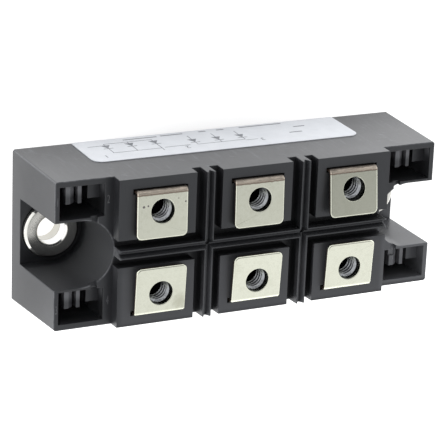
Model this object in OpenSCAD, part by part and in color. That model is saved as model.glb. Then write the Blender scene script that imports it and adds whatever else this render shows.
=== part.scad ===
// Three-phase bridge rectifier module: a flat moulded case on a metal base plate, with six screw
// terminals on top and a screw notch at each end. Millimetres, +Z up, base plate underside at z = 0.

/* [Case] */
// Length of the case at its foot
case_l = 94; // [92:0.5:100]
// Width of the case at its foot
case_w = 35; // [34:0.5:40]
// Height of the four ears and of the groove floors
ear_h = 23.2; // [21:0.1:27]
// Inward lean of the outer walls, in degrees
draft = 1.9; // [0.5:0.1:3]
// Depth of the flat on the upright corners
corner_flat = 0.3; // [0.1:0.1:0.8]
// Height of the case's lower rim above the base plate's underside
rim_z = 0.2; // [0.1:0.1:0.6]

/* [Terminal blocks] */
// Height of the terminal blocks above the ears
block_h = 3; // [2.5:0.1:4]
// Free block face at the outer side of each end terminal
block_margin = 3.7; // [3:0.1:4.5]
// Width of the gap between neighbouring blocks
gap_w = 6.15; // [5:0.05:7]
// Thickness of the partition ribs in the gaps
rib_t = 2.05; // [1.7:0.05:2.6]
// Height of the partition ribs above the block faces
rib_lift = 0.6; // [0.3:0.1:1.3]
// Thickness of the two lips along a rib's top
lip_t = 0.3; // [0.2:0.05:0.5]
// Depth of the trough between a rib's lips
trough_depth = 1.1; // [0.4:0.1:1.5]
// Width of the trough's floor
trough_floor = 0.3; // [0.1:0.05:0.5]
// Diameter of the conical gate pit where two ribs cross
pit_d = 2; // [1:0.1:2.2]
// Diameter of the gate pit's floor
pit_floor = 0.8; // [0.4:0.1:0.9]
// Depth of the gate pit
pit_depth = 1.6; // [0.6:0.1:2]
// Distance of the gate pit from the crossing, towards the label
pit_shift = 0.4; // [0:0.1:0.6]

/* [Ears] */
// Distance of a mounting screw's axis from the case's end
hole_inset = 7; // [6.8:0.1:8]
// Length of an ear, from the case's end to the terminal blocks
ear_l = 14.15; // [14:0.05:15.2]
// Width of the U-shaped notch at each end
notch_w = 15; // [13.6:0.1:15.6]
// Height of the notch floor
notch_floor = 4.8; // [4:0.1:7]
// Wall between a notch and the ear pockets beside it
notch_wall = 0.6; // [0.5:0.1:1.2]
// Wall at the end of an ear pocket
ear_end_wall = 1.1; // [0.8:0.1:2]
// Wall at the outer side of an ear pocket
ear_side_wall = 1.35; // [0.8:0.05:2]
// Land between a terminal block and the ear pocket
pocket_land = 2; // [1:0.1:3]
// Height of the pocket floor
pocket_floor = 8; // [6:0.5:14]
// Length of the fins across an ear pocket
fin_l = 4; // [2:0.1:5]
// Distance of the fins' tops below the ear's face
fin_drop = 0.5; // [0.2:0.1:2]
// Distance of the broad fin from the pocket's edge
broad_fin_x = 1.5; // [1:0.1:1.8]
// Thickness of the broad fin at its level top
broad_fin_t = 1; // [0.6:0.05:1.2]
// Thickness of the sloped part beside the level top
fin_slope_t = 1.2; // [0.6:0.05:1.2]
// Fall of the sloped part
fin_slope_h = 0.8; // [0.2:0.1:1.5]
// Distance of the slim fin from the pocket's edge
slim_fin_x = 4.25; // [4.2:0.05:5]
// Thickness of the slim fin
slim_fin_t = 0.9; // [0.6:0.05:1.1]
// Distance of the shelf beside the fins from the pocket's edge
shelf_x = 7.5; // [6.2:0.1:9]
// Distance of the shelf below the ear's face
shelf_drop = 3; // [1:0.1:8]
// Distance of the nick in the notch wall from the screw axis
nick_shift = 3; // [2:0.1:4]
// Width of the nick in the notch wall
nick_w = 1.5; // [0.8:0.1:2.4]
// Depth of the nick in the notch wall
nick_depth = 1; // [0.4:0.1:2]

/* [Base plate and bushes] */
// Thickness of the base plate
plate_t = 3; // [2.5:0.1:3.5]
// Rim of plastic round the base plate
plate_inset = 1.6; // [1:0.1:2.2]
// Radius of the base plate's corners
plate_r = 1.2; // [0.5:0.1:3]
// Diameter of the screw hole in the base plate and the bushes
hole_d = 6.5; // [5.5:0.1:7]
// Outer diameter of a mounting bush
bush_d = 12.6; // [10:0.1:13]
// Height of a bush above the notch floor
bush_lift = 1.6; // [0.5:0.1:2.5]
// Chamfer at the mouth of a bush
bush_mouth = 0.4; // [0.2:0.1:0.8]
// Chamfer on the outer edge of a bush
bush_edge = 0.5; // [0.1:0.1:0.8]

/* [Terminals] */
// Distance of a terminal row's screw axes from the case's foot
row_inset = 8.25; // [8:0.05:8.6]
// Width of a terminal strip
strip_w = 11.9; // [10:0.1:13]
// Thickness of a terminal strip
strip_t = 0.9; // [0.6:0.05:1.2]
// Inner radius of the strip's bends
bend_r = 0.2; // [0.1:0.05:0.5]
// Distance from the screw axis to the strip's free end
strip_reach = 6.1; // [5:0.1:6.5]
// Corner radius at the strip's free end
strip_corner = 1.2; // [0.5:0.1:2]
// Diameter of the screw hole in the strip
strip_hole_d = 5.5; // [5.2:0.1:6.5]
// Room between the block's face and the strip at its bend
strip_gap = 0.4; // [0.1:0.05:0.8]
// Rise of the label side's strips towards their free ends, in degrees
near_tilt = [1.5, 2, 6.5]; // [0:0.5:8]
// Rise of the other side's strips towards their free ends, in degrees
far_tilt = [4, 4.5, 4]; // [0:0.5:8]
// Width of the strip inside the case
foot_w = 5; // [3:0.1:6]
// Length of the strip's soldered foot
foot_l = 3.7; // [2.5:0.1:4.5]
// Distance below the roof at which the strip narrows
neck_drop = 1; // [0.5:0.1:3]

/* [Nuts] */
// Width across flats of a terminal nut
nut_af = 7; // [6.5:0.1:7.4]
// Height of a terminal nut
nut_h = 4; // [3:0.1:5]
// Diameter of the nut's bore, at the crests of its thread
thread_d = 4.2; // [4:0.05:4.6]
// Countersink at the mouths of the nut's bore
nut_sink = 0.5; // [0.2:0.1:0.8]
// Diameter of the blind bore below a nut
tail_d = 5.4; // [5.2:0.1:5.6]
// Depth of the blind bore below a nut
tail_l = 6; // [3:0.1:8]

/* [Inside of the case] */
// Thickness of the case's roof below the groove floors
roof_t = 3.6; // [2.5:0.1:5]
// Wall between a notch and the inner chamber
end_wall = 1.8; // [1.2:0.1:3]
// Wall round the blind bore of a nut
boss_wall = 1; // [0.8:0.05:1.1]
// Wall of plastic between a nut's pocket and the strip's slot
slot_wall = 0.35; // [0.3:0.05:0.6]
// Depth of the soft gel above the base plate
gel_t = 6; // [4:0.5:8]

/* [Circuit] */
// Thickness of the ceramic
sub_t = 0.65; // [0.4:0.05:1]
// Thickness of the copper tracks
pad_t = 0.3; // [0.2:0.05:0.5]
// Gap between copper tracks
pad_gap = 0.7; // [0.4:0.1:1]
// Bare ceramic round the copper tracks
pad_margin = 0.5; // [0.3:0.1:1]
// Distance of the gap between the DC and the AC tracks from the case's foot
bus_inset = 11.75; // [11.5:0.05:12]
// Side of a square diode chip
chip_s = 4.6; // [3.5:0.1:5]
// Thickness of a diode chip
chip_t = 0.45; // [0.3:0.05:0.6]
// Distance between the middle and the last upper chip
chip_apart = 7.2; // [5.6:0.1:8]
// Distance of the lower chips from the middle line
chip_low_y = 1; // [0:0.1:2]
// Width of the copper straps
strap_w = 3; // [2:0.1:3.4]
// Thickness of the copper straps
strap_t = 0.5; // [0.3:0.05:0.7]
// Length of a strap's landing on its track
strap_land = 2.2; // [1.5:0.1:2.8]
// Bare copper between a chip or a strap's landing and the edge of its track
track_edge = 0.5; // [0.3:0.1:0.7]
// Thickness of the bar over the lower chips
bar_t = 0.8; // [0.5:0.1:1.2]

/* [Label] */
// Length of the label
label_l = 65.2; // [40:0.1:72]
// Height of the label along the wall
label_h = 13.8; // [8:0.1:16]
// Distance of the label's lower edge from the foot
label_z = 0.4; // [0.3:0.1:4]
// Sideways place of the label
label_x = 0.8; // [-4:0.1:4]
// Radius of the label's upper corners
label_r = 2.4; // [0.5:0.1:4]
// Radius of the label's lower corners
label_foot_r = 0.6; // [0.3:0.1:4]
// Thickness of the label
label_t = 0.15; // [0.1:0.05:0.3]

/* [Clearances] */
// Room round the base plate and the bushes
seat_clear = 0.1; // [0.05:0.05:0.2]
// Room round a nut in its pocket
nut_clear = 0.1; // [0.05:0.05:0.2]
// Room at each side of a strip in its slot
slot_side = 0.4; // [0.1:0.05:0.6]
// Room in front of and behind a strip in its slot
slot_clear = 0.1; // [0.05:0.05:0.15]
// Room between the strips and the chamber's side walls
leg_clear = 0.4; // [0.3:0.1:0.8]
// Room between the ceramic and the chamber's end walls
sub_end = 1.9; // [0.5:0.1:3]

/* [Hidden] */
$fn = 64;
// Overlap of a cutting shape past the face that it opens
cut = 1;
// Straight pieces in each bend of a strip
bend_steps = 10;

// Levels
block_z = ear_h + block_h;
rib_z = block_z + rib_lift;
strip_z = block_z + strip_gap;
strip_top = strip_z + strip_t;
roof_z = ear_h - roof_t;
nut_z = block_z - nut_h;
tail_z = nut_z - tail_l;
gel_z = plate_t + gel_t;
pad_z = plate_t + sub_t;
pad_top = pad_z + pad_t;
chip_top = pad_top + chip_t;
neck_z = roof_z - neck_drop;

// Places along the case
lean = tan(draft);
hole_pitch = case_l - 2 * hole_inset;
zone_half = case_l / 2 - ear_l;
term_pitch = zone_half - block_margin - strip_w / 2;
rib_x = term_pitch / 2;
pocket_in = zone_half + pocket_land;
pocket_out = case_l / 2 - ear_h * lean - ear_end_wall;
chamber_half_l = (hole_pitch - notch_w) / 2 - end_wall;
sub_half_l = chamber_half_l - sub_end;
plate_half_l = case_l / 2 - plate_inset;

// Places across the case
row_y = case_w / 2 - row_inset;
leg_in = row_y + nut_af / 2 + nut_clear + slot_wall + slot_clear;
leg_out = leg_in + strip_t;
bend_out = bend_r + strip_t;
bend_y = leg_out - bend_out;
bend_z = strip_top - bend_out;
chamber_half_w = leg_out + leg_clear;
sub_half_w = chamber_half_w - leg_clear / 2;
plate_half_w = case_w / 2 - plate_inset;
pocket_low = notch_w / 2 + notch_wall;
pocket_high = case_w / 2 - ear_h * lean - ear_side_wall;

// Tops of the two fins and the shelf in an ear pocket: distance from the pocket's edge, drop below the ear
slope_x = broad_fin_x + broad_fin_t;
fin_tops = [
  [[broad_fin_x, fin_drop], [slope_x, fin_drop], [slope_x + fin_slope_t, fin_drop + fin_slope_h]],
  [[slim_fin_x, fin_drop], [slim_fin_x + slim_fin_t, fin_drop]],
  [[shelf_x, shelf_drop], [pocket_out - pocket_in + cut, shelf_drop]]
];

// Circuit: terminal columns, side of each upper chip, and the edges of the tracks
columns = [term_pitch, 0, -term_pitch];
chip_sides = [-1, -1, 1];
chip_shift = (term_pitch - chip_apart) / 2;
bus_split = case_w / 2 - bus_inset;
track_half_l = sub_half_l - pad_margin;
track_half_w = sub_half_w - pad_margin;
bus_edge = bus_split + pad_gap / 2;
ac_edge = bus_split - pad_gap / 2;
plus_end = term_pitch - (chip_shift - chip_s / 2 + foot_w / 2) / 2;
chip_high_y = -bus_edge - track_edge - chip_s / 2;

case_colour = [0.21, 0.21, 0.225];
nickel = [0.80, 0.80, 0.74];
steel = [0.72, 0.73, 0.75];
copper = [0.80, 0.50, 0.34];

// Box between two corners
module box(low, high) {
  translate(low) cube(high - low);
}

// Flat outline with four equal round corners
module round_rect(l, w, r) {
  square([l - 2 * r, w], center = true);
  square([l, w - 2 * r], center = true);
  for (x = [-1, 1], y = [-1, 1])
    translate([x * (l / 2 - r), y * (w / 2 - r)]) circle(r = r);
}

// Outline in the YZ plane, carried along X and centred on it
module across(width) {
  rotate([90, 0, 90]) linear_extrude(height = width, center = true) children();
}

// Long bar whose two sides lean in from half_width at the foot
module leaning_bar(half_width, length, slope) {
  top = half_width - slope * rib_z;
  rotate([90, 0, 0]) linear_extrude(height = length, center = true)
    polygon([[-half_width, 0], [half_width, 0], [top, rib_z], [-top, rib_z]]);
}

// Outer form of the moulding: four leaning walls with flattened upright corners
module leaning_block() {
  corner = (case_l + case_w) / 2 / sqrt(2) - corner_flat;
  intersection() {
    leaning_bar(case_l / 2, case_w + cut, lean);
    rotate(90) leaning_bar(case_w / 2, case_l + cut, lean);
    rotate(45) leaning_bar(corner, case_l + case_w, lean * sqrt(2));
    rotate(-45) leaning_bar(corner, case_l + case_w, lean * sqrt(2));
  }
}

// Lengthwise profile of the moulding: ears at both ends, raised zone for the terminals
module stepped_body() {
  half = case_l / 2;
  rotate([90, 0, 0]) linear_extrude(height = case_w, center = true)
    polygon([
      [-half, rim_z], [half, rim_z], [half, ear_h], [zone_half, ear_h], [zone_half, block_z],
      [-zone_half, block_z], [-zone_half, ear_h], [-half, ear_h]
    ]);
}

// Bars along the gaps between the blocks: two across the case and one along it
module gap_bars(width, top) {
  for (side = [-1, 1])
    box([side * rib_x - width / 2, -case_w / 2, ear_h], [side * rib_x + width / 2, case_w / 2, top]);
  box([-zone_half, -width / 2, ear_h], [zone_half, width / 2, top]);
}

// Trough between the lips of a rib that runs across the case
module rib_trough(length) {
  mouth = rib_t / 2 - lip_t;
  flare = (mouth - trough_floor / 2) / trough_depth * cut;
  low = rib_z - trough_depth;
  rotate([90, 0, 0]) linear_extrude(height = length, center = true)
    polygon([
      [-trough_floor / 2, low], [trough_floor / 2, low],
      [mouth + flare, rib_z + cut], [-mouth - flare, rib_z + cut]
    ]);
}

// Conical gate pit, open upwards
module gate_pit() {
  flare = (pit_d - pit_floor) / 2 / pit_depth * cut;
  translate([0, -pit_shift, rib_z - pit_depth])
    cylinder(r1 = pit_floor / 2, r2 = pit_d / 2 + flare, h = pit_depth + cut);
}

// U-shaped notch at one end, open upwards and outwards, with the seat of its bush
module end_notch(side) {
  screw = hole_pitch / 2;
  translate([side * screw, 0, notch_floor]) cylinder(d = notch_w, h = rib_z);
  translate([side * (screw + case_l / 2), 0, notch_floor + rib_z / 2])
    cube([case_l, notch_w, rib_z], center = true);
  translate([side * screw, 0, plate_t]) cylinder(d = bush_d + 2 * seat_clear, h = rib_z);
}

// Hollow of one ear with its fins left standing, and the nick in the wall towards the notch
module ear_pocket(end, side) {
  x_low = end > 0 ? pocket_in : -pocket_out;
  x_high = end > 0 ? pocket_out : -pocket_in;
  y_low = side > 0 ? pocket_low : -pocket_high;
  y_high = side > 0 ? pocket_high : -pocket_low;
  nick_x = end * (hole_pitch / 2 - nick_shift);
  difference() {
    box([x_low, y_low, pocket_floor], [x_high, y_high, rib_z]);
    for (top = fin_tops) {
      first = top[0];
      last = top[len(top) - 1];
      translate([x_high, y_low + fin_l, 0]) rotate([90, 0, 0]) linear_extrude(height = fin_l + cut)
        polygon(concat([[-last[0], 0], [-first[0], 0]], [for (p = top) [-p[0], ear_h - p[1]]]));
    }
  }
  translate([nick_x, side * pocket_low, ear_h])
    cube([nick_w, 2 * (notch_wall + cut), 2 * nick_depth], center = true);
}

// Places its children at the six screw axes, the far row first turned to face the near one
module at_terminals() {
  for (x = columns, side = [-1, 1])
    translate([x, 0, 0]) mirror([0, side < 0 ? 1 : 0, 0]) translate([0, row_y, 0]) children();
}

// Hexagon bar with its flats towards the rows
module hexagon(flats, height) {
  cylinder(d = flats / cos(30), h = height, $fn = 6);
}

// Pocket for a nut, the blind bore below it, and the slot that a strip comes up through
module terminal_seat() {
  slot_y = leg_in - row_y;
  translate([0, 0, nut_z]) hexagon(nut_af + 2 * nut_clear, rib_z);
  translate([0, 0, tail_z]) cylinder(d = tail_d, h = tail_l + cut);
  box(
    [-strip_w / 2 - slot_side, slot_y - slot_clear, roof_z - cut],
    [strip_w / 2 + slot_side, slot_y + strip_t + slot_clear, rib_z]
  );
}

// Bosses that hang from the roof round the blind bores
module bosses() {
  at_terminals()
    translate([0, 0, tail_z - boss_wall])
      cylinder(d = tail_d + 2 * boss_wall, h = rib_z - tail_z);
}

// Part of the inner chamber between two heights
module chamber(low, high) {
  box([-chamber_half_l, -chamber_half_w, low], [chamber_half_l, chamber_half_w, high]);
}

// Moulded case
module housing() {
  color(case_colour) difference() {
    intersection() {
      leaning_block();
      union() {
        difference() {
          stepped_body();
          gap_bars(gap_w, rib_z + cut);
        }
        gap_bars(rib_t, rib_z);
      }
    }
    for (side = [-1, 1]) end_notch(side);
    for (end = [-1, 1], side = [-1, 1]) ear_pocket(end, side);
    for (side = [-1, 1]) translate([side * rib_x, 0, 0]) {
      rib_trough(case_w);
      gate_pit();
    }
    rotate(90) rib_trough(case_l);
    at_terminals() terminal_seat();
    linear_extrude(height = plate_t)
      round_rect(2 * (plate_half_l + seat_clear), 2 * (plate_half_w + seat_clear), plate_r);
    difference() {
      chamber(plate_t - cut, roof_z);
      bosses();
    }
  }
}

// Metal base plate with its two screw holes
module base_plate() {
  color(nickel) difference() {
    linear_extrude(height = plate_t) round_rect(2 * plate_half_l, 2 * plate_half_w, plate_r);
    for (side = [-1, 1])
      translate([side * hole_pitch / 2, 0, -cut]) cylinder(d = hole_d, h = plate_t + 2 * cut);
  }
}

// Turned bush between the base plate and the screw's head
module mounting_bush(side) {
  bore = hole_d / 2;
  outer = bush_d / 2;
  top = notch_floor + bush_lift;
  color(steel) translate([side * hole_pitch / 2, 0, 0]) rotate_extrude()
    polygon([
      [bore, plate_t], [outer, plate_t], [outer, top - bush_edge], [outer - bush_edge, top],
      [bore + bush_mouth, top], [bore, top - bush_mouth]
    ]);
}

// Strip seen square to its flat, from the screw axis: rounded free end, hole, open past the bend
module strip_plan() {
  corner_x = strip_w / 2 - strip_corner;
  corner_y = strip_corner - strip_reach;
  difference() {
    union() {
      translate([-strip_w / 2, corner_y]) square([strip_w, 3 * strip_reach]);
      translate([-corner_x, -strip_reach]) square([2 * corner_x, strip_reach]);
      for (x = [-1, 1])
        translate([x * corner_x, corner_y]) circle(r = strip_corner);
    }
    circle(d = strip_hole_d);
  }
}

// Points along a bend in the YZ plane, from one angle to another
function arc(centre, r, from, to) = [
  for (i = [0:bend_steps])
    let (angle = from + (to - from) * i / bend_steps)
      centre + r * [cos(angle), sin(angle)]
];

// Flat, upper bend and wide leg, with the hole over the screw axis
module strip_head(tilt) {
  hole_y = -(bend_y - row_y + (bend_r + strip_t / 2) * sin(tilt)) / cos(tilt);
  centre = [bend_y, bend_z];
  up = [sin(tilt), cos(tilt)];
  along = (strip_reach + cut - hole_y) * [-cos(tilt), sin(tilt)];
  intersection() {
    across(strip_w + cut)
      polygon(concat(
        [[leg_in, neck_z], [leg_out, neck_z]],
        arc(centre, bend_out, 0, 90 - tilt),
        [centre + bend_out * up + along, centre + bend_r * up + along],
        arc(centre, bend_r, 90 - tilt, 0)
      ));
    translate([0, bend_y, bend_z]) rotate([-tilt, 0, 0]) translate([0, hole_y, -bend_z])
      linear_extrude(height = 2 * bend_z) strip_plan();
  }
}

// Narrow leg, lower bend and soldered foot
module strip_foot() {
  centre = [bend_y, pad_top + bend_out];
  foot_y = leg_out - foot_l;
  across(foot_w)
    polygon(concat(
      [[leg_in, neck_z], [leg_out, neck_z]],
      arc(centre, bend_out, 0, -90),
      [[foot_y, pad_top], [foot_y, pad_top + strip_t]],
      arc(centre, bend_r, -90, 0)
    ));
}

// Terminals 1 to 3 stand on the label's side, 4 to 6 on the other, each row from +X to -X
module terminal(number) {
  column = (number - 1) % 3;
  near = number <= 3;
  tilt = near ? near_tilt[column] : far_tilt[column];
  color(nickel) translate([columns[column], 0, 0]) mirror([0, near ? 1 : 0, 0]) {
    strip_head(tilt);
    strip_foot();
  }
}

// Six captive nuts
module terminal_nuts() {
  sink_r = thread_d / 2 + nut_sink;
  color(steel) at_terminals() translate([0, 0, nut_z]) difference() {
    hexagon(nut_af, nut_h);
    translate([0, 0, -cut]) cylinder(d = thread_d, h = nut_h + 2 * cut);
    translate([0, 0, nut_h - nut_sink]) cylinder(r1 = thread_d / 2, r2 = sink_r, h = nut_sink);
    cylinder(r1 = sink_r, r2 = thread_d / 2, h = nut_sink);
  }
}

// Insulating ceramic on the base plate
module substrate() {
  color("whitesmoke")
    box([-sub_half_l, -sub_half_w, plate_t], [sub_half_l, sub_half_w, pad_z]);
}

// One copper track between two corners
module track(low, high) {
  color(copper) box([low[0], low[1], pad_z], [high[0], high[1], pad_top]);
}

// Track of the positive terminals, below the upper chips
module pad_plus() {
  track([-plus_end + pad_gap / 2, -track_half_w], [track_half_l, -bus_edge]);
}

// Track of the negative terminal
module pad_minus() {
  track([-track_half_l, -track_half_w], [-plus_end - pad_gap / 2, -bus_edge]);
}

// Track of one AC terminal, below its lower chip
module pad_ac(number) {
  edges = [track_half_l, rib_x, -rib_x, -track_half_l];
  high = edges[number - 1] - (number > 1 ? pad_gap / 2 : 0);
  low = edges[number] + (number < 3 ? pad_gap / 2 : 0);
  track([low, -ac_edge], [high, track_half_w]);
}

// Square diode chip centred on a point
module chip(x, y) {
  color("dimgray")
    translate([x - chip_s / 2, y - chip_s / 2, pad_top]) cube([chip_s, chip_s, chip_t]);
}

// Sideways place of an upper chip
function chip_high_x(number) = columns[number - 1] + chip_sides[number - 1] * chip_shift;

// Strap from an upper chip down to its AC track
module link(number) {
  start = chip_high_y - strap_w / 2;
  step = -bus_edge - track_edge / 2;
  land = -ac_edge + track_edge;
  end = land + strap_land;
  under = [[start, chip_top], [step, chip_top], [land, pad_top], [end, pad_top]];
  over = [for (i = [3:-1:0]) under[i] + [0, strap_t]];
  color(copper) translate([chip_high_x(number), 0, 0]) across(strap_w) polygon(concat(under, over));
}

// Bar over the three lower chips, with an arm to the negative track
module minus_bar() {
  reach = term_pitch + chip_s / 2;
  arm_land = -bus_edge - track_edge;
  arm_end = arm_land - strap_w;
  color(copper) {
    box([-reach, chip_low_y - strap_w / 2, chip_top], [reach, chip_low_y + strap_w / 2, chip_top + bar_t]);
    box(
      [-term_pitch - strap_w / 2, arm_end, chip_top],
      [-term_pitch + strap_w / 2, chip_low_y, chip_top + bar_t]
    );
    box(
      [-term_pitch - strap_w / 2, arm_end, pad_top],
      [-term_pitch + strap_w / 2, arm_land, chip_top + bar_t]
    );
  }
}

// All that the two fillings flow round
module circuit() {
  substrate();
  pad_plus();
  pad_minus();
  for (i = [1:3]) {
    pad_ac(i);
    chip(chip_high_x(i), chip_high_y);
    chip(columns[i - 1], chip_low_y);
    link(i);
  }
  minus_bar();
}

// Soft gel over the chips
module gel() {
  color([0.86, 0.88, 0.90, 0.6]) difference() {
    chamber(plate_t, gel_z);
    circuit();
    for (i = [1:6]) terminal(i);
  }
}

// Hard filling between the gel and the roof
module potting() {
  color([0.16, 0.16, 0.17]) difference() {
    chamber(gel_z, roof_z);
    bosses();
    for (i = [1:6]) terminal(i);
  }
}

// Label seen from its side: sharper corners at its lower edge
module label_outline() {
  half = [label_l, label_h / 2];
  intersection() {
    round_rect(label_l, label_h, label_r);
    translate([-label_l / 2, 0]) square(half);
  }
  intersection() {
    round_rect(label_l, label_h, label_foot_r);
    translate([-label_l / 2, -label_h / 2]) square(half);
  }
}

// Adhesive label on one leaning side wall
module label() {
  color([0.86, 0.89, 0.93]) translate([label_x, -case_w / 2, 0]) rotate([-draft, 0, 0])
    translate([0, 0, label_z + label_h / 2]) rotate([90, 0, 0])
      linear_extrude(height = label_t) label_outline();
}

housing();
base_plate();
mounting_bush(1);  // mounting_bush_1
mounting_bush(-1);  // mounting_bush_2
for (i = [1:6])
  terminal(i);
terminal_nuts();
substrate();
pad_plus();
pad_minus();
for (i = [1:3]) {
  pad_ac(i);
  chip(chip_high_x(i), chip_high_y);
  chip(columns[i - 1], chip_low_y);
  link(i);
}
minus_bar();
gel();
potting();
label();
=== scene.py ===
import math

import bmesh
import bpy
import numpy as np
from mathutils import Matrix, Quaternion, Vector


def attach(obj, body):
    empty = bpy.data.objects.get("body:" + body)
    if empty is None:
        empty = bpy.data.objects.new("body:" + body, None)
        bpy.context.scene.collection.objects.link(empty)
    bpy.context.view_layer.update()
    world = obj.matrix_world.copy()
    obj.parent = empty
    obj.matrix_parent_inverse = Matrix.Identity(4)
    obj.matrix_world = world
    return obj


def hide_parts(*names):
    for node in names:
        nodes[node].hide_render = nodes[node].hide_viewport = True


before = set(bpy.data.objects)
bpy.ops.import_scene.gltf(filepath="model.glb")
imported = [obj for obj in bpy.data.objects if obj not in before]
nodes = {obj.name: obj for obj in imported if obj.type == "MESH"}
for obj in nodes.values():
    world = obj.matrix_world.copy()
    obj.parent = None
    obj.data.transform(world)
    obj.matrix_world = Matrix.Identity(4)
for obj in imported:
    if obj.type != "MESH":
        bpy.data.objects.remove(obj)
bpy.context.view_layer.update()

mm = 0.001
print("frame:", len(nodes), "nodes")

# camera of the photograph
photoCamera = {
    "turn": (0.3280, 0.4556, 0.0378),        # turning axis times angle, radians
    "shift": (-4.083, 4.4030, -511.312),     # mm, the part's origin seen from the camera
    "focal": 2234.36,                        # pixels
    "frame": 444,                            # pixels, square
    "sensor": 36.0,                          # mm
    "nearest": 10.0,                         # mm, nothing nearer to the camera is drawn
}


def placeCamera(settings):
    # the picture's up is the part's -Y and its right the part's -X, so two axes are flipped before the turn
    turn = Vector(settings["turn"])
    spin = Quaternion(turn.normalized(), turn.length).to_matrix()
    look = (spin @ Matrix.Diagonal((-1, -1, 1))).transposed()
    eye = look @ Vector(settings["shift"]) * -mm
    data = bpy.data.cameras.new("photoCamera")
    data.sensor_width = settings["sensor"]
    data.lens = settings["focal"] / settings["frame"] * settings["sensor"]
    data.clip_start = settings["nearest"] * mm
    camera = bpy.data.objects.new("photoCamera", data)
    camera.matrix_world = Matrix.Translation(eye) @ look.to_4x4()
    bpy.context.scene.collection.objects.link(camera)
    bpy.context.scene.camera = camera


placeCamera(photoCamera)
print("camera placed")


class Wire:
    # one socket of a shader tree; sums and products of wires add Math nodes
    def __init__(self, tree, socket=None):
        self.tree, self.socket = tree, socket

    def node(self, kind, settings={}, inputs={}, out=0):
        # any node: its settings first, then the values or links of its sockets
        made = self.tree.nodes.new(kind)
        for name, value in settings.items():
            setattr(made, name, value)
        for name, value in inputs.items():
            if isinstance(value, Wire):
                self.tree.links.new(value.socket, made.inputs[name])
            else:
                made.inputs[name].default_value = value
        return Wire(self.tree, made.outputs[out] if made.outputs else None)

    def maths(self, operation, *values):
        return self.node("ShaderNodeMath", {"operation": operation}, dict(enumerate(values)))

    def __add__(self, other):
        return self.maths("ADD", self, other)

    def __sub__(self, other):
        return self.maths("SUBTRACT", self, other)

    def __rsub__(self, other):
        return self.maths("SUBTRACT", other, self)

    def __mul__(self, other):
        return self.maths("MULTIPLY", self, other)

    def __truediv__(self, other):
        return self.maths("DIVIDE", self, other)

    def __rtruediv__(self, other):
        return self.maths("DIVIDE", other, self)

    def __pow__(self, other):
        return self.maths("POWER", self, other)

    def __abs__(self):
        return self.maths("ABSOLUTE", self)

    __radd__, __rmul__ = __add__, __mul__

    def most(self, other):
        return self.maths("MAXIMUM", self, other)

    def least(self, other):
        return self.maths("MINIMUM", self, other)

    def wave(self):
        return self.maths("SINE", self)

    def step(self, low, high):
        # smooth rise from 0 at low to 1 at high
        return self.node("ShaderNodeMapRange", {"interpolation_type": "SMOOTHSTEP"},
                         {"Value": self, "From Min": low, "From Max": high})

    def fall(self, low, high):
        # smooth fall from 1 at low to 0 at high
        return 1.0 - self.step(low, high)

    def axis(self, name):
        return self.node("ShaderNodeSeparateXYZ", {}, {0: self}, name)

    def stretched(self, x, y, z):
        return self.node("ShaderNodeVectorMath", {"operation": "MULTIPLY"}, {0: self, 1: (x, y, z)})

    def joined(self, x, y, z):
        return self.node("ShaderNodeCombineXYZ", {}, {"X": x, "Y": y, "Z": z})

    def off(self, point):
        return self.node("ShaderNodeVectorMath", {"operation": "DISTANCE"}, {0: self, 1: point}, "Value")

    def noise(self, scale, detail=2.0, rough=0.5):
        return self.node("ShaderNodeTexNoise", {}, {"Vector": self, "Scale": scale, "Detail": detail,
                                                   "Roughness": rough})

    def mixed(self, low, high):
        # colour between two wires or colours with alpha, this wire being the share of the second
        return self.node("ShaderNodeMix", {"data_type": "RGBA"}, {0: self, 6: low, 7: high}, 2)

    def between(self, low, high):
        return self.mixed((*low, 1), (*high, 1))

    def over(self, below, colour):
        # colour laid over another wire's colour, this wire being its cover
        return self.mixed(below, (*colour, 1))


def newFinish(name):
    # empty material, and the part's coordinates in millimetres as the first wire
    material = bpy.data.materials.new(name)
    material.use_nodes = True
    material.node_tree.nodes.clear()
    place = Wire(material.node_tree).node("ShaderNodeTexCoord", {}, {}, "Object")
    return material, place.stretched(1000, 1000, 1000)


def closeFinish(material, inputs, grain=None, grainDepth=0.0):
    # Principled shader with its values, and fine relief of grainDepth mm where a grain is given
    start = Wire(material.node_tree)
    if grain:
        inputs["Normal"] = start.node("ShaderNodeBump", {}, {"Height": grain, "Strength": 1.0,
                                                             "Distance": grainDepth * mm})
    shader = start.node("ShaderNodeBsdfPrincipled", {}, inputs)
    start.node("ShaderNodeOutputMaterial", {}, {"Surface": shader})
    return material


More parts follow.
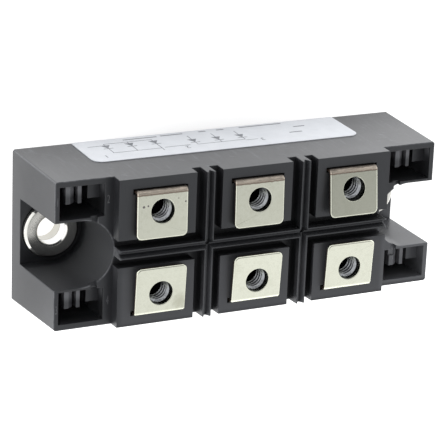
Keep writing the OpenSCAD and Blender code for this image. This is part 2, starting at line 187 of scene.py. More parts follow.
# moulded plastic of the case; lengths in mm, a pair being where a change starts and where it is complete
casePlastic = {
    "dark": (0.0105, 0.0108, 0.0125), "pale": (0.0165, 0.0170, 0.0192),
    # next line: lighter colours painted as light on the far row's tops and on the -X end of that side
    "farTopLight": (0.042, 0.0425, 0.047), "farEndLight": (0.078, 0.080, 0.087),
    # next line: a pale colour painted as highlight along edges, then the scuffs' own colour
    "edgeHighlight": (0.120, 0.123, 0.132), "scuff": (0.150, 0.154, 0.168),
    # next line: a pale colour painted as light into the ears' pockets, then a near-black one painted as shade
    # into the grooves
    "pocketLight": (0.112, 0.114, 0.122), "groove": (0.0035, 0.0036, 0.0042),
    "sheen": (0.925, 0.955, 1.0, 1.0), "ior": 1.65,
    "roughness": 0.38, "notchRoughness": 0.28,            # the second is added on the +X notch's wall
    "grainDepth": 0.006,
    "wallY": (-16.9, -16.5), "endX": (46.0, 46.4),        # scuffed: the label's wall, and the two ends
    "wallScuffs": 0.5, "endScuffs": 0.08, "otherScuffs": 0.06, "scuffCover": 0.7,
    "farLightY": (1.0, 6.0), "farLightZ": (25.2, 25.6),           # painted light: tops of the row away from the label lightened, up to the +X end and the outer wall
    "farLightX": (31.2, 32.8), "outerY": (15.6, 16.6),        # up to the +X end and the outer wall
    "farEndLightX": (-33.0, -31.5),                            # painted light: the -X end of that side lightened more
    "halfX": 47.0, "halfY": 17.5, "lean": 0.0332,         # half sizes at the foot, and the walls' slope
    # painted highlight: its width, and its cover on the upright corners and the rims
    "edgeWidth": (0.12, 0.32), "cornerHighlight": 0.9, "rimHighlight": 0.8,
    "rimZ": 23.2, "rimX": 32.9,                           # height of the ears' rims, and where the ears begin
    "notchX": 40.0, "notchRadius": 7.62, "notchZ": (6.0, 9.0), "arcWidth": (0.08, 0.22),
    "grooveX": (32.2, 32.5), "grooveY": (15.8, 16.2), "grooveZ": (25.0, 25.5),     # reach of the painted shade in the grooves
    "pocketX": (34.8, 45.2), "pocketY": (8.1, 15.4),      # room in the ears, from and to
    "pocketZ": (22.8, 22.9), "deepPocketLight": 0.45, "shelfPocketLight": 0.08, "shelfZ": (17.0, 19.5),
    "finReach": (0.8, 3.0), "finZ": (20.0, 21.6),         # the painted light thins out along the fins' tops
}


def casePlasticFinish(s):
    material, place = newFinish("casePlastic")
    cloud = place.noise(0.12, 4.0, 0.6)
    grain = place.noise(5.0, 3.0, 0.6)
    along, y, z = place.axis("X"), place.axis("Y"), place.axis("Z")
    x, side = abs(along), abs(y)

    # painted light in the ears' pockets, lifting their shade, most of it on the fins
    (x0, x1), (y0, y1) = s["pocketX"], s["pocketY"]
    pocket = x.step(x0 - 0.2, x0) * x.fall(x1, x1 + 0.2) * z.fall(*s["pocketZ"])
    pocket = pocket * side.step(y0 - 0.2, y0) * side.fall(y1, y1 + 0.2)
    finEnd = abs(y + y1).least(abs(y - y0))
    pocketFloorLight = s["deepPocketLight"] - (s["deepPocketLight"] - s["shelfPocketLight"]) * z.step(*s["shelfZ"])
    pocketLight = pocket * (finEnd.fall(*s["finReach"]) * z.step(*s["finZ"])).most(pocketFloorLight)

    # painted highlight on the upright corners, the ears' rims and the notches' rims
    ends = (s["halfX"] - s["lean"] * z - x).fall(*s["edgeWidth"])
    sides = (s["halfY"] - s["lean"] * z - side).fall(*s["edgeWidth"])
    low, high = s["rimZ"] - 0.1, s["rimZ"] + 0.1
    rim = z.step(low - 0.1, low) * z.fall(high, high + 0.1) * x.step(s["rimX"] - 0.1, s["rimX"])
    fromNotch = x - s["notchX"]
    arc = abs((fromNotch * fromNotch + y * y) ** 0.5 - s["notchRadius"]).fall(*s["arcWidth"])
    arc = arc * z.step(low - 0.2, low) * fromNotch.fall(-1.0, 1.0)
    wearAndHighlight = (ends * sides * s["cornerHighlight"]).most(rim * ends.most(sides) * s["rimHighlight"])
    wearAndHighlight = wearAndHighlight.most(arc * s["rimHighlight"])
    wearAndHighlight = wearAndHighlight * (0.4 + 0.6 * place.noise(0.8, 3.0).step(0.35, 0.6))

    # upright scuffs and slanting scratches
    wall = y.fall(*s["wallY"])
    streaks = place.stretched(1.0, 0.25, 0.10).noise(1.3, 5.0, 0.65)
    scuffs = s["otherScuffs"] * cloud.step(0.45, 0.65) + s["wallScuffs"] * wall
    scuffs = streaks.step(0.52, 0.74) * (scuffs + s["endScuffs"] * x.step(*s["endX"]))
    slant = place.joined((along * 0.6 + z * 0.8) * 4.0, (along * 0.8 - z * 0.6) * 0.25, 0.0)
    scratches = slant.noise(1.0, 2.0).step(0.62, 0.70) * cloud.step(0.46, 0.58) * wall

    # matt wall of the +X notch, painted shade in the grooves and painted light on the far tops, then the
    # colours one over another
    notch = along.step(s["rimX"] - 0.6, s["rimX"] - 0.4) * side.fall(s["notchRadius"], s["notchRadius"] + 0.2)
    notch = notch * z.step(*s["notchZ"]) * z.fall(low - 0.2, low)
    groove = x.fall(*s["grooveX"]) * side.fall(*s["grooveY"]) * z.fall(*s["grooveZ"])
    farTopLight = y.step(*s["farLightY"]) * y.fall(*s["outerY"])
    colour = cloud.between(s["dark"], s["pale"])
    # painted light: the far row's tops coloured lighter, standing in for their brighter reflection
    colour = (farTopLight * z.step(*s["farLightZ"]) * along.fall(*s["farLightX"])).over(colour, s["farTopLight"])
    # painted light: the -X end of the far side coloured lighter still
    colour = (farTopLight * along.fall(*s["farEndLightX"])).over(colour, s["farEndLight"])
    colour = ((scuffs + scratches) * s["scuffCover"]).over(colour, s["scuff"])
    # painted shade: the grooves coloured near black
    colour = groove.over(colour, s["groove"])
    # painted light: the pockets' floors and the fins' tops lightened against their shade
    colour = pocketLight.over(colour, s["pocketLight"])
    # painted highlight along the corners and rims
    colour = wearAndHighlight.over(colour, s["edgeHighlight"])
    roughness = s["roughness"] + (grain - 0.5) * 0.10 + (cloud - 0.5) * 0.12 + scuffs * 0.10
    roughness = roughness + notch * s["notchRoughness"]
    return closeFinish(material, {"Base Color": colour, "Roughness": roughness, "IOR": s["ior"],
                                  "Specular Tint": s["sheen"]}, grain, s["grainDepth"])


# nickel-plated copper strips; lengths in mm
stripMetal = {
    "nickel": (0.80, 0.815, 0.695), "dull": (0.70, 0.71, 0.59),
    # next line: real stain and specks; the middle colour is painted shade on whole strips
    "stain": (0.42, 0.42, 0.32), "shadedPlate": (0.30, 0.31, 0.25), "speck": (0.24, 0.22, 0.22),
    "copper": (0.84, 0.745, 0.63), "bendShade": (0.09, 0.078, 0.068),     # bare copper at the bend, and painted shade where it turns down
    "sheared": (0.17, 0.11, 0.085),
    "roughness": 0.20, "bendRoughness": 0.14, "shearedRoughness": 0.2,     # the last two are added
    "grainDepth": 0.0015,
    "pitch": 23.2,                                        # between the strips' middle lines
    "sideX": 5.91, "endY": 3.22,                          # the plating ends at a strip's sides and free end
    "bendY": 13.1, "bendFade": (0.1, 1.05), "seamWidth": (0.06, 0.24),     # bare past bendY, by the label
    "stainPlace": (18.6, 11.8, 0.0), "stainReach": (0.4, 2.8), "stainCover": 0.55,
    "plateReach": (9.6, 10.0),
    "plateShade": {(0.0, -9.25, 0.0): 0.08, (-23.2, -9.25, 0.0): 0.27,        # painted shade: cover at a strip's place
                (23.2, 9.25, 0.0): 0.14},
    "specks": {(27.7, -10.6, 0.0): 0.40, (26.7, -10.75, 0.0): 0.28,        # radius of a speck
               (17.9, -10.9, 0.0): 0.22, (19.6, -11.8, 0.0): 0.18},
}


def stripMetalFinish(s):
    material, place = newFinish("stripMetal")
    flat = place.stretched(1, 1, 0)
    cloud = place.noise(0.25, 4.0, 0.6)
    mottle = place.noise(1.1, 4.0, 0.7)
    rolled = place.stretched(1.0, 0.08, 1.0).noise(6.0, 3.0, 0.6)
    brushed = place.stretched(0.06, 1.0, 1.0).noise(4.0, 3.0, 0.6) - 0.5
    wander = place.noise(1.4, 3.0) - 0.5
    stain = (flat.off(s["stainPlace"]) + wander * 1.6).fall(*s["stainReach"]) * s["stainCover"]
    middle = abs(abs(abs(place.axis("X")) - s["pitch"] / 2) - s["pitch"] / 2)
    sheared = middle.step(s["sideX"] - 0.03, s["sideX"] + 0.03)
    sheared = sheared.most(abs(place.axis("Y")).fall(s["endY"] - 0.03, s["endY"] + 0.03))
    past = 0.0 - place.axis("Y") + wander * 0.3 - s["bendY"]
    bend = past.step(-0.05, 0.08)
    seam = abs(past - 0.05).fall(*s["seamWidth"])
    colour = (cloud.step(0.45, 0.85) * 0.6 + mottle.step(0.42, 0.72) * 0.4).between(s["nickel"], s["dull"])
    # painted shade: whole strips darkened one by one, standing in for their different reflections
    for plate, cover in s["plateShade"].items():
        colour = (flat.off(plate).fall(*s["plateReach"]) * cover).over(colour, s["shadedPlate"])
    colour = stain.over(colour, s["stain"])
    for speck, reach in s["specks"].items():
        colour = (flat.off(speck) + wander * 0.3).fall(reach * 0.5, reach).over(colour, s["speck"])
    # painted shade: the bare copper darkens down the bend
    bare = (past + brushed * 0.7).step(*s["bendFade"]).between(s["copper"], s["bendShade"])
    colour = bend.mixed(colour, bare)
    colour = (seam * 0.8).most(sheared * 0.9).over(colour, s["sheared"])
    roughness = s["roughness"] + (rolled - 0.5) * 0.06 + (cloud - 0.5) * 0.08
    roughness = roughness + bend * s["bendRoughness"] + sheared * s["shearedRoughness"]
    return closeFinish(material, {"Base Color": colour, "Metallic": 1.0, "Roughness": roughness}, rolled,
                       s["grainDepth"])


# turned steel of the bushes; lengths in mm
bushMetal = {
    # the third colour, near white, is painted light on the bore's wall
    "pale": (0.85, 0.84, 0.795), "dark": (0.68, 0.67, 0.635), "bore": (0.97, 0.97, 0.965),
    "roughness": 0.17, "grainDepth": 0.0015,
    "pitchX": 40.0, "boreRadius": (3.4, 3.6),
    "ringRate": 40.0,                                     # radians of the turning marks' wave per mm
}


def bushMetalFinish(s):
    material, place = newFinish("bushMetal")
    alongX = abs(place.axis("X")) - s["pitchX"]
    radius = (alongX * alongX + place.axis("Y") ** 2.0) ** 0.5
    rings = (radius * s["ringRate"]).wave()
    cloud = place.noise(0.5, 3.0)
    colour = cloud.between(s["pale"], s["dark"])
    # painted light: the bore's wall coloured near white
    colour = radius.fall(*s["boreRadius"]).over(colour, s["bore"])
    roughness = s["roughness"] + (cloud - 0.5) * 0.08 + rings * 0.02
    return closeFinish(material, {"Base Color": colour, "Metallic": 1.0, "Roughness": roughness}, rings,
                       s["grainDepth"])


# steel of the captive nuts, with painted shade in the thread's roots; lengths in mm
nutMetal = {
    "pale": (0.37, 0.385, 0.405), "dark": (0.20, 0.205, 0.215), "rootShade": (0.035, 0.035, 0.04),
    "roughness": 0.24, "grainDepth": 0.003,
    "pitch": 23.2, "rowY": 9.25, "root": (2.2, 2.42), "mouthZ": (25.65, 25.75),
}


def nutMetalFinish(s):
    material, place = newFinish("nutMetal")
    cloud = place.noise(0.9, 4.0, 0.6)
    grain = place.noise(7.0, 2.0)
    middle = abs(abs(abs(place.axis("X")) - s["pitch"] / 2) - s["pitch"] / 2)
    row = abs(place.axis("Y")) - s["rowY"]
    radius = (middle * middle + row * row) ** 0.5
    # painted shade: the thread's roots darkened
    rootShade = radius.step(*s["root"]) * place.axis("Z").fall(*s["mouthZ"])
    colour = cloud.step(0.35, 0.75).between(s["pale"], s["dark"])
    colour = rootShade.over(colour, s["rootShade"])
    roughness = s["roughness"] + (grain - 0.5) * 0.15
    return closeFinish(material, {"Base Color": colour, "Metallic": 1.0, "Roughness": roughness}, grain,
                       s["grainDepth"])


# plated base plate, seen only from below
plateMetal = {"pale": (0.74, 0.73, 0.68), "dark": (0.58, 0.56, 0.50), "roughness": 0.32,
              "grainDepth": 0.003}


def plateMetalFinish(s):
    material, place = newFinish("plateMetal")
    milled = place.stretched(0.06, 1.0, 1.0).noise(5.0, 3.0)
    cloud = place.noise(0.15, 4.0)
    roughness = s["roughness"] + (milled - 0.5) * 0.16
    return closeFinish(material, {"Base Color": cloud.between(s["pale"], s["dark"]), "Metallic": 1.0,
                                  "Roughness": roughness}, milled, s["grainDepth"])


# paper-faced film of the label, the lighter tops of the case's figures, and the ink on the label
labelFilm = {"pale": (0.55, 0.57, 0.605), "wearAndHighlight": (0.50, 0.52, 0.555), "roughness": 0.42,
             "grainScale": 6.0, "grainDepth": 0.002}
figurePlastic = {"pale": (0.130, 0.133, 0.142), "wearAndHighlight": (0.060, 0.062, 0.067), "roughness": 0.45,
                 "grainScale": 6.0, "grainDepth": 0.002}
labelInk = {"pale": (0.17, 0.18, 0.20), "wearAndHighlight": (0.10, 0.11, 0.125), "roughness": 0.55,
            "grainScale": 9.0, "grainDepth": 0.002}


def printedFinish(name, s):
    material, place = newFinish(name)
    cloud = place.noise(0.3, 4.0, 0.6)
    fibre = place.noise(s["grainScale"], 3.0)
    roughness = s["roughness"] + (fibre - 0.5) * 0.12
    return closeFinish(material, {"Base Color": cloud.step(0.3, 0.8).between(s["pale"], s["wearAndHighlight"]),
                                  "Roughness": roughness}, fibre, s["grainDepth"])


# hidden pieces: colour pair, metal or not, roughness, size of the clouding
hiddenFinishes = {
    "ceramic": ((0.80, 0.79, 0.76), (0.70, 0.69, 0.66), 0.0, 0.55, 0.8),
    "copper": ((0.72, 0.40, 0.27), (0.55, 0.29, 0.19), 1.0, 0.35, 0.5),
    "silicon": ((0.12, 0.13, 0.16), (0.08, 0.09, 0.11), 0.6, 0.22, 1.2),
    "gel": ((0.62, 0.66, 0.70), (0.54, 0.58, 0.62), 0.0, 0.15, 0.2),
    "potting": ((0.020, 0.020, 0.021), (0.034, 0.033, 0.034), 0.0, 0.45, 0.3),
}


def hiddenFinish(name, row):
    low, high, metal, rough, scale = row
    material, place = newFinish(name)
    cloud = place.noise(scale, 4.0, 0.6)
    grain = place.noise(scale * 12, 2.0)
    return closeFinish(material, {"Base Color": cloud.between(low, high), "Metallic": metal,
                                  "Roughness": rough + (cloud - 0.5) * 0.12}, grain, grainDepth=0.004)


finishes = {name: hiddenFinish(name, row) for name, row in hiddenFinishes.items()}
finishes["case_plastic"] = casePlasticFinish(casePlastic)
finishes["terminal_nickel"] = stripMetalFinish(stripMetal)
finishes["bush_steel"] = bushMetalFinish(bushMetal)
finishes["nut_steel"] = nutMetalFinish(nutMetal)
finishes["nickel_plate"] = plateMetalFinish(plateMetal)
finishes["label_film"] = printedFinish("labelFilm", labelFilm)
finishes["case_figure"] = printedFinish("figurePlastic", figurePlastic)
finishes["label_ink"] = printedFinish("labelInk", labelInk)
print("finishes:", len(finishes))


def dress(piece, slot):
    piece.data.materials.clear()
    piece.data.materials.append(finishes[slot])


def addPiece(name, mesh, finish, slot, *replaced):
    # a new piece on the part's only body, with its finish and the nodes it stands for, which are hidden; slot
    # is not used
    piece = bpy.data.objects.new(name, mesh)
    bpy.context.scene.collection.objects.link(piece)
    dress(piece, finish)
    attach(piece, "root")
    if replaced:
        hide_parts(*replaced)
    return piece


# every CAD node keeps its mesh and takes the finish of its slot
nodeSlots = {
    "housing": "case_plastic", "base_plate": "nickel_plate", "mounting_bush": "bush_steel",
    "terminal_nuts": "nut_steel", "terminal": "terminal_nickel", "substrate": "ceramic", "pad": "copper",
    "chip": "silicon", "link": "copper", "minus_bar": "copper", "gel": "gel", "potting": "potting",
    "label": "label_film",
}
for name, piece in nodes.items():
    key = next(k for k in nodeSlots if name.startswith(k))
    dress(piece, nodeSlots[key])
print("CAD nodes dressed")

# rounding of CAD meshes: distance in mm that joins points, and angles in degrees
rounding = {"join": 0.002, "flatAngle": 0.1, "cornerAngle": 25, "bevelAngle": 60}


def roundedCopy(nodeName, weigh):
    # the node's triangles joined and flat fans dissolved; outward corners get a weight for the Bevel, and
    # a corner without one stays sharp
    work = bmesh.new()
    work.from_mesh(nodes[nodeName].data)
    bmesh.ops.remove_doubles(work, verts=work.verts, dist=rounding["join"] * mm)
    bmesh.ops.dissolve_limit(work, angle_limit=math.radians(rounding["flatAngle"]), verts=work.verts,
                             edges=work.edges)
    weights = work.edges.layers.float.new("bevel_weight_edge")
    for edge in work.edges:
        corner = len(edge.link_faces) == 2 and edge.calc_face_angle() > math.radians(rounding["cornerAngle"])
        ends = np.array([v.co for v in edge.verts]) / mm
        edge[weights] = weigh(ends) if corner and edge.is_convex else 0.0
        edge.smooth = edge[weights] > 0 or not corner
    for face in work.faces:
        face.smooth = True
    mesh = bpy.data.meshes.new(nodeName + "_rounded")
    work.to_mesh(mesh)
    work.free()
    return mesh


def readAll(things, name, width=1, kind=np.float32):
    values = np.zeros(len(things) * width, kind)
    things.foreach_get(name, values)
    return values.reshape(-1, width) if width > 1 else values


def settleNormals(mesh):
    # normal of a face's corner: sum of the normals, times area, of the CAD faces at its point that lie within
    # an angle of its own face; where only faces of the Bevel meet, the sum of theirs
    point = readAll(mesh.loops, "vertex_index", 1, np.int32)
    sizes = readAll(mesh.polygons, "loop_total", 1, np.int32)
    face = np.repeat(np.arange(len(sizes)), sizes)
    facing = readAll(mesh.polygons, "normal", 3).astype(float)[face]
    pull = facing * readAll(mesh.polygons, "area")[face, None]
    made = readAll(mesh.polygons, "material_index", 1, np.int32)[face] == 1
    limit = np.cos(np.radians(np.where(made, rounding["bevelAngle"], rounding["cornerAngle"])))
    order = np.argsort(point, kind="stable")
    sums = np.zeros((2, *facing.shape))
    for step in range(np.bincount(point).max()):
        a, b = order[:len(order) - step], order[step:]
        same = point[a] == point[b]
        for own, other in ((a[same], b[same]), (b[same], a[same]))[:1 + (step > 0)]:
            close = (facing[own] * facing[other]).sum(1) > limit[own]
            for layer, use in enumerate((close & ~made[other], made[own] & made[other])):
                sums[layer, own[use]] += pull[other[use]]
    normals = np.where(np.any(sums[0], axis=1, keepdims=True), sums[0], sums[1])
    normals /= np.maximum(np.linalg.norm(normals, axis=1, keepdims=True), 1e-30)
    mesh.polygons.foreach_set("material_index", np.zeros(len(sizes), np.int32))
    mesh.normals_split_custom_set(normals.tolist())


def softenEdges(piece, width, segments):
    # Bevel along the weighted edges, kept as mesh; its faces are told from the others by their slot's number
    bevel = piece.modifiers.new("edges", "BEVEL")
    bevel.limit_method = "WEIGHT"
    bevel.width = width * mm
    bevel.segments = segments
    bevel.use_clamp_overlap = False
    bevel.miter_outer = "MITER_ARC"
    bevel.material = 1
    piece.data.materials.append(piece.data.materials[0])
    bpy.context.view_layer.update()
    mesh = bpy.data.meshes.new_from_object(piece.evaluated_get(bpy.context.evaluated_depsgraph_get()))
    settleNormals(mesh)
    mesh.materials.pop(index=1)
    piece.modifiers.clear()
    piece.data = mesh


# case: rounded edges where they are seen; lengths in mm
caseEdges = {"width": 0.11, "segments": 2, "zoneX": 32.4, "zoneY": 15.0, "zoneZ": 23.1,
             "pitX": 11.6, "pitY": -0.4, "pitReach": 1.5, "biteX": (31.8, 33.8), "biteY": 3.3}


def caseWeight(ends):
    # inner edges, the pits' rims and the notches' bites into the blocks' zone stay sharp
    c = caseEdges
    x, y = abs(ends[:, 0]), abs(ends[:, 1])
    inside = (x < c["zoneX"]) & (y < c["zoneY"]) & (ends[:, 2] < c["zoneZ"])
    pit = np.hypot(x - c["pitX"], ends[:, 1] - c["pitY"]) < c["pitReach"]
    bite = (x > c["biteX"][0]) & (x < c["biteX"][1]) & (y < c["biteY"])
    return 0.0 if inside.any() or pit.all() or bite.any() else 1.0


case = addPiece("case", roundedCopy("housing", caseWeight), "case_plastic", "case_plastic", "housing")
softenEdges(case, caseEdges["width"], caseEdges["segments"])

# terminal strips with softened edges; lengths in mm, and the hole's share of the rounding
stripEdges = {"width": 0.35, "segments": 4, "pitch": 23.2, "rowY": 9.25, "holeReach": 3.1, "holeShare": 0.4}


def stripWeight(ends):
    # the screw hole's rim is rounded less than the strip's outline
    e = stripEdges
    middle = abs(abs(abs(ends[:, 0]) - e["pitch"] / 2) - e["pitch"] / 2)
    hole = np.hypot(middle, abs(ends[:, 1]) - e["rowY"]) < e["holeReach"]
    return e["holeShare"] if hole.all() else 1.0


for number in range(1, 7):
    strip = addPiece(f"strip_{number}", roundedCopy(f"terminal_{number}", stripWeight), "terminal_nickel",
                     "terminal_nickel", f"terminal_{number}")
    softenEdges(strip, stripEdges["width"], stripEdges["segments"])
print("case and strips rounded")


def gridMesh(name, grids, closedAlong=False, closedAcross=False):
    # quads between neighbouring points of each (rows, columns, 3) grid; a closed direction joins its ends
    points, quads, first = [], [], 0
    for grid in grids:
        rows, columns = grid.shape[:2]
        index = first + np.arange(rows * columns).reshape(rows, columns)
        if closedAlong:
            index = np.vstack([index, index[:1]])
        if closedAcross:
            index = np.hstack([index, index[:, :1]])
        around = [index[:-1, :-1], index[1:, :-1], index[1:, 1:], index[:-1, 1:]]
        quads.append(np.stack(around, -1).reshape(-1, 4))
        points.append(grid.reshape(-1, 3))
        first += rows * columns
    mesh = bpy.data.meshes.new(name)
    mesh.from_pydata((np.concatenate(points) * mm).tolist(), [], np.concatenate(quads).tolist())
    mesh.update()
    return mesh


def smoothMesh(mesh, degrees):
    mesh.shade_smooth()
    mesh.set_sharp_from_angle(angle=math.radians(degrees))
    return mesh


def roundedLoop(corners, radius, steps=4, share=0.45):
    # closed outline with each corner replaced by a short parabola that starts and ends radius away from it,
    # or a share of the shorter side where that is less
    corners = np.array(corners, float)
    before = np.roll(corners, 1, 0) - corners
    after = np.roll(corners, -1, 0) - corners
    lengthBefore, lengthAfter = np.linalg.norm(before, axis=1), np.linalg.norm(after, axis=1)
    reach = np.minimum(radius, share * np.minimum(lengthBefore, lengthAfter))
    start = corners + before / lengthBefore[:, None] * reach[:, None]
    end = corners + after / lengthAfter[:, None] * reach[:, None]
    t = np.linspace(0, 1, steps + 1)[None, :, None]
    curve = (1 - t) ** 2 * start[:, None] + 2 * t * (1 - t) * corners[:, None] + t ** 2 * end[:, None]
    return curve.reshape(-1, 2)


# bushes: a closed outline turned round the screw axis; radii and heights in mm
bush = {"bore": 3.25, "outer": 6.3, "low": 3.0, "top": 6.4, "mouth": 0.4, "edge": 0.5, "round": 0.1,
        "turns": 128, "pitchX": 40.0, "smoothAngle": 30}


def bushSurface(side, b):
    # outline point (radius, height) turned by an angle round the screw axis
    outline = roundedLoop([
        (b["bore"], b["low"]), (b["outer"], b["low"]),
        (b["outer"], b["top"] - b["edge"]), (b["outer"] - b["edge"], b["top"]),
        (b["bore"] + b["mouth"], b["top"]), (b["bore"], b["top"] - b["mouth"])], b["round"])
    angle = np.linspace(0, 2 * np.pi, b["turns"], endpoint=False)[:, None]
    radius, height = outline[None, :, 0], outline[None, :, 1]
    return np.stack([side * b["pitchX"] + radius * np.cos(angle), radius * np.sin(angle),
                     height + 0 * angle], -1)


for number, side in ((1, 1), (2, -1)):
    mesh = gridMesh(f"bush_{number}", [bushSurface(side, bush)], True, True)
    addPiece(f"bush_{number}", smoothMesh(mesh, bush["smoothAngle"]), "bush_steel", "bush_steel",
             f"mounting_bush_{number}")

# captive nuts with their thread; lengths in mm
nut = {"flats": 7.0, "low": 22.2, "height": 4.0, "edge": 0.25, "bottomRing": 0.6,
       "crest": 2.1, "root": 2.55, "pitch": 1.0, "sink": 2.6, "sinkDepth": 0.5,
       "crestEnd": 0.25, "rootStart": 0.56, "rootEnd": 0.69,     # shares of a pitch
       "turns": 96, "rows": 81, "columns": (23.2, 0.0, -23.2), "rowY": 9.25, "smoothAngle": 35}


def nutSurface(x, y, n):
    # inside: a trapezoid wave of the height less the angle's share of a pitch, widened to the countersinks;
    # outside: distance to a hexagon's flats along the angle, drawn in at the top and bottom edges
    angle = np.linspace(0, 2 * np.pi, n["turns"], endpoint=False)[:, None]
    rise = np.linspace(1, 0, n["rows"])[None, :] * n["height"]
    phase = (rise / n["pitch"] - angle / (2 * np.pi)) % 1.0
    thread = np.interp(phase, [0, n["crestEnd"], n["rootStart"], n["rootEnd"], 1],
                       [n["crest"], n["crest"], n["root"], n["root"], n["crest"]])
    slope = (n["sink"] - n["crest"]) / n["sinkDepth"]
    depth = np.minimum(rise, n["height"] - rise)
    inside = np.maximum(thread, n["sink"] - slope * depth)
    hexagon = n["flats"] / 2 / np.cos(angle % (np.pi / 3) - np.pi / 6)
    edge = n["edge"]
    outRise = np.array([0.0, 0.0, edge, n["height"] - edge, n["height"]])[None, :]
    drawn = np.array([n["bottomRing"], edge, 0.0, 0.0, edge])[None, :]
    radius = np.hstack([inside, hexagon - drawn])
    height = np.hstack([rise + 0 * angle, outRise + 0 * angle])
    return np.stack([x + radius * np.cos(angle), y + radius * np.sin(angle), n["low"] + height], -1)


nutGrids = [nutSurface(x, side * nut["rowY"], nut) for x in nut["columns"] for side in (-1, 1)]
nutMesh = smoothMesh(gridMesh("nuts", nutGrids, True, True), nut["smoothAngle"])
addPiece("nuts", nutMesh, "nut_steel", "nut_steel", "terminal_nuts")
print("bushes and nuts made")

# print on the label: lines, diode signs and plain numbers, lying on the film; mm along the wall and up it
printing = {
    "lean": 1.9, "wallY": -17.5, "lift": 0.152, "thick": 0.014, "line": 0.18, "bar": 0.42,
    "paths": [
        [(31.0, 4.3), (26.9, 4.3)],
        [(26.9, 3.4), (26.9, 9.4)], [(21.2, 3.4), (21.2, 9.4)], [(15.4, 3.4), (15.4, 10.8)],
        [(27.0, 9.4), (15.4, 9.4)], [(26.9, 3.4), (15.4, 3.4)],
        [(6.6, 3.4), (6.6, 9.4)], [(0.7, 3.4), (0.7, 9.4)], [(-5.1, 3.4), (-5.1, 9.4)],
        [(14.6, 9.2), (8.4, 9.2)], [(6.6, 9.4), (-5.1, 9.4)], [(-5.1, 9.9), (-8.0, 9.9)],
    ],
    "bars": [
        [(21.6, 1.9), (13.4, 1.9)], [(12.4, 1.7), (7.0, 1.7)], [(2.9, 1.5), (1.1, 1.5)],
        [(-1.6, 1.5), (-3.4, 1.5)], [(-7.4, 1.4), (-18.0, 1.4)], [(-19.8, 4.4), (-22.6, 4.4)],
        [(-17.0, 7.9), (-20.2, 7.9)],
    ],
    "diodes": [(26.9, 5.2), (21.2, 5.2), (15.4, 5.2), (6.6, 6.8), (0.7, 6.8), (-5.1, 6.8)],
    "diodeWidth": 2.3, "diodeHeight": 2.0, "diodeTaper": 0.96, "diodeBar": 0.3,
    "numbers": {"1": (29.4, 10.5), "2": (9.6, 9.8), "3": (-9.0, 9.6)}, "numberHeight": 1.5,
}


def onWall(flat, p):
    # label coordinates (along, up) carried onto the leaning wall, lifted clear of the film
    lean = math.radians(p["lean"])
    along, up = flat[..., 0], flat[..., 1]
    return np.stack([along, p["wallY"] + up * math.sin(lean) - p["lift"] * math.cos(lean),
                     up * math.cos(lean) + p["lift"] * math.sin(lean)], -1)


def printGrids(p):
    # line: its two ends moved half a width to each side; diode sign: rows that narrow from base to tip, and
    # a bar across the tip
    ends = np.array(p["paths"] + p["bars"], float)
    half = np.repeat([p["line"] / 2, p["bar"] / 2], [len(p["paths"]), len(p["bars"])])[:, None]
    run = ends[:, 1] - ends[:, 0]
    run /= np.linalg.norm(run, axis=1)[:, None]
    side = np.stack([-run[:, 1], run[:, 0]], -1) * half
    lines = np.stack([ends - side[:, None], ends + side[:, None]], 2)
    share = np.linspace(0, 1, 5)[:, None]
    across = np.linspace(-0.5, 0.5, 3)[None, :]
    sign = np.stack([p["diodeWidth"] * across * (1 - p["diodeTaper"] * share),
                     p["diodeHeight"] * (share - 0.5) + 0 * across], -1)
    edges = np.array([[0.0], [1.0]])
    bar = np.stack([p["diodeWidth"] * across + 0 * edges,
                    p["diodeBar"] * edges + p["diodeHeight"] / 2 + 0 * across], -1)
    marks = [np.array(p["diodes"])[:, None, None] + form for form in (sign, bar)]
    return [onWall(grid, p) for group in (lines, *marks) for grid in group]


def thicken(piece, thick):
    # a flat print made a thin closed slab, grown outwards from the surface that it lies on
    solid = piece.modifiers.new("thickness", "SOLIDIFY")
    solid.thickness = thick * mm
    solid.offset = 1.0


lines = addPiece("label_lines", gridMesh("label_lines", printGrids(printing)), "label_ink", "label_film")
thicken(lines, printing["thick"])


def figureMesh(text, height, carry, sizePerHeight=1.4):
    # plain figure: a flat font outline made a mesh, then its points carried to their place
    curve = bpy.data.curves.new("figure", "FONT")
    curve.body, curve.size, curve.align_x = text, height * sizePerHeight, "CENTER"
    holder = bpy.data.objects.new("figure", curve)
    bpy.context.scene.collection.objects.link(holder)
    bpy.context.view_layer.update()
    mesh = bpy.data.meshes.new_from_object(holder.evaluated_get(bpy.context.evaluated_depsgraph_get()))
    bpy.data.objects.remove(holder)
    bpy.data.curves.remove(curve)
    flat = readAll(mesh.vertices, "co", 3)[:, :2]
    mesh.vertices.foreach_set("co", (carry(flat) * mm).ravel())
    mesh.update()
    return mesh


for text, place in printing["numbers"].items():
    mesh = figureMesh(text, printing["numberHeight"],
                      lambda flat: onWall(flat + np.array(place), printing))
    thicken(addPiece(f"label_number_{text}", mesh, "label_ink", "label_film"), printing["thick"])
print("label printed")

# plain figures moulded on two ears; lengths in mm
figures = {"height": 1.9, "narrow": 0.5, "sink": 23.19, "thick": 0.07,
           "places": {"1": (45.62, -11.4), "2": (34.0, -10.9), "3": (45.62, 12.8), "4": (33.8, 12.0)}}


def onEar(flat, place, f):
    # figure coordinates turned half a turn on the ear's rim, narrowed to fit it
    return np.stack([place[0] - f["narrow"] * flat[:, 0], place[1] - flat[:, 1],
                     0 * flat[:, 0] + f["sink"]], -1)


for text, place in figures["places"].items():
    mesh = figureMesh(text, figures["height"], lambda flat: onEar(flat, place, figures))
    thicken(addPiece(f"case_figure_{text}", mesh, "case_figure", "case_plastic"), figures["thick"])
print("ears numbered")

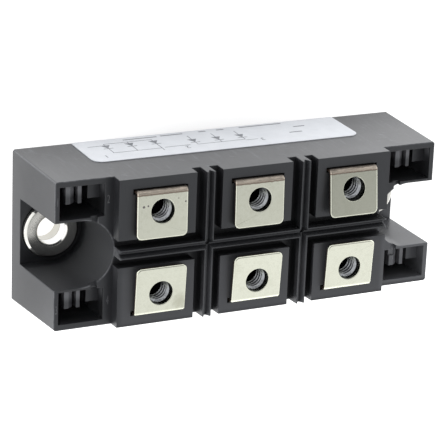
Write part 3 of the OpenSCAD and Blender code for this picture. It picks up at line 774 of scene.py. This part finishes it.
# floor and light: a white tent, darker overhead where the camera looks in, and a floor whose glow dims beside
# the part; lengths in mm, a pair being where a change starts and where it is complete
studio = {
    "floorReach": 3000.0, "floorDrop": 0.02, "floorColour": (0.30, 0.30, 0.30), "floorRoughness": 0.9,
    "glow": 2.0, "glowNear": 0.42, "glowFar": 0.71, "glowReach": 12.0,       # by the part, and away from it
    "footX": 44.0, "footY": 17.5, "openX": 62.0,                             # reach of the dimmer floor
    "glowMiddle": 0.88, "glowEnds": 0.40, "glowMost": 1.2,                   # rise with the square of X
    "endShare": 0.27, "endStart": (46.0, 48.0), "endStop": (58.0, 66.0),     # dimmer past the +X end,
    "footGlow": 0.17, "footStart": (46.0, 47.0), "footStop": (48.0, 52.0),   # except at its foot
    "cornerGlow": 1.3, "cornerStartX": (46.6, 47.6), "cornerStopX": (56.0, 60.0),     # bright by the corner
    "cornerStartY": (17.1, 18.1), "cornerStopY": (29.0, 33.0),                        # on the label's side
    "sky": 1.0, "low": 0.35, "lowRise": (0.32, 0.66),
    "overhead": 0.75, "overheadWay": (-0.10, -0.25, 0.963), "overheadCone": (0.70, 0.95),
}


def makeFloor(s):
    # flat square of two parameters, each from -reach to reach
    span = np.linspace(-s["floorReach"], s["floorReach"], 5)
    across, along = np.meshgrid(span, span, indexing="ij")
    grid = np.stack([across, along, 0 * along - s["floorDrop"]], -1)
    floor = bpy.data.objects.new("floor", gridMesh("floor", [grid]))
    bpy.context.scene.collection.objects.link(floor)
    material, place = newFinish("floorPaper")
    x, y = place.axis("X"), place.axis("Y")
    away = (abs(y) - s["footY"]).most(abs(x) - s["openX"])
    glow = s["glowNear"] + (s["glowFar"] - s["glowNear"]) * away.step(0.0, s["glowReach"])
    side = x / s["footX"]
    glow = glow * (s["glowMiddle"] + s["glowEnds"] * (side * side).least(s["glowMost"]))
    end = x.step(*s["endStart"]) * x.fall(*s["endStop"])
    glow = glow * (1.0 - s["endShare"] * end)
    towards = 0.0 - y
    corner = x.step(*s["cornerStartX"]) * x.fall(*s["cornerStopX"])
    corner = corner * towards.step(*s["cornerStartY"]) * towards.fall(*s["cornerStopY"])
    glow = glow + s["cornerGlow"] * corner
    glow = glow + s["footGlow"] * x.step(*s["footStart"]) * x.fall(*s["footStop"])
    closeFinish(material, {"Base Color": (*s["floorColour"], 1), "Roughness": s["floorRoughness"],
                           "Emission Color": glow.between((0, 0, 0), (1, 1, 1)),
                           "Emission Strength": s["glow"]})
    floor.data.materials.append(material)


def makeSky(s):
    # one brightness, more of it low down, and less inside a soft cone overhead
    world = bpy.data.worlds.new("tent")
    bpy.context.scene.world = world
    world.use_nodes = True
    world.node_tree.nodes.clear()
    start = Wire(world.node_tree)
    way = start.node("ShaderNodeTexCoord", {}, {}, "Generated")
    facing = start.node("ShaderNodeVectorMath", {"operation": "DOT_PRODUCT"},
                        {0: way, 1: s["overheadWay"]}, "Value")
    low = way.axis("Z").fall(*s["lowRise"])
    light = s["sky"] + s["low"] * low - s["overhead"] * facing.step(*s["overheadCone"])
    light = start.node("ShaderNodeBackground", {}, {"Color": light, "Strength": 1.0})
    start.node("ShaderNodeOutputWorld", {}, {"Surface": light})


makeFloor(studio)
makeSky(studio)
bpy.context.scene.view_settings.view_transform = "Standard"
print("floor and light set")
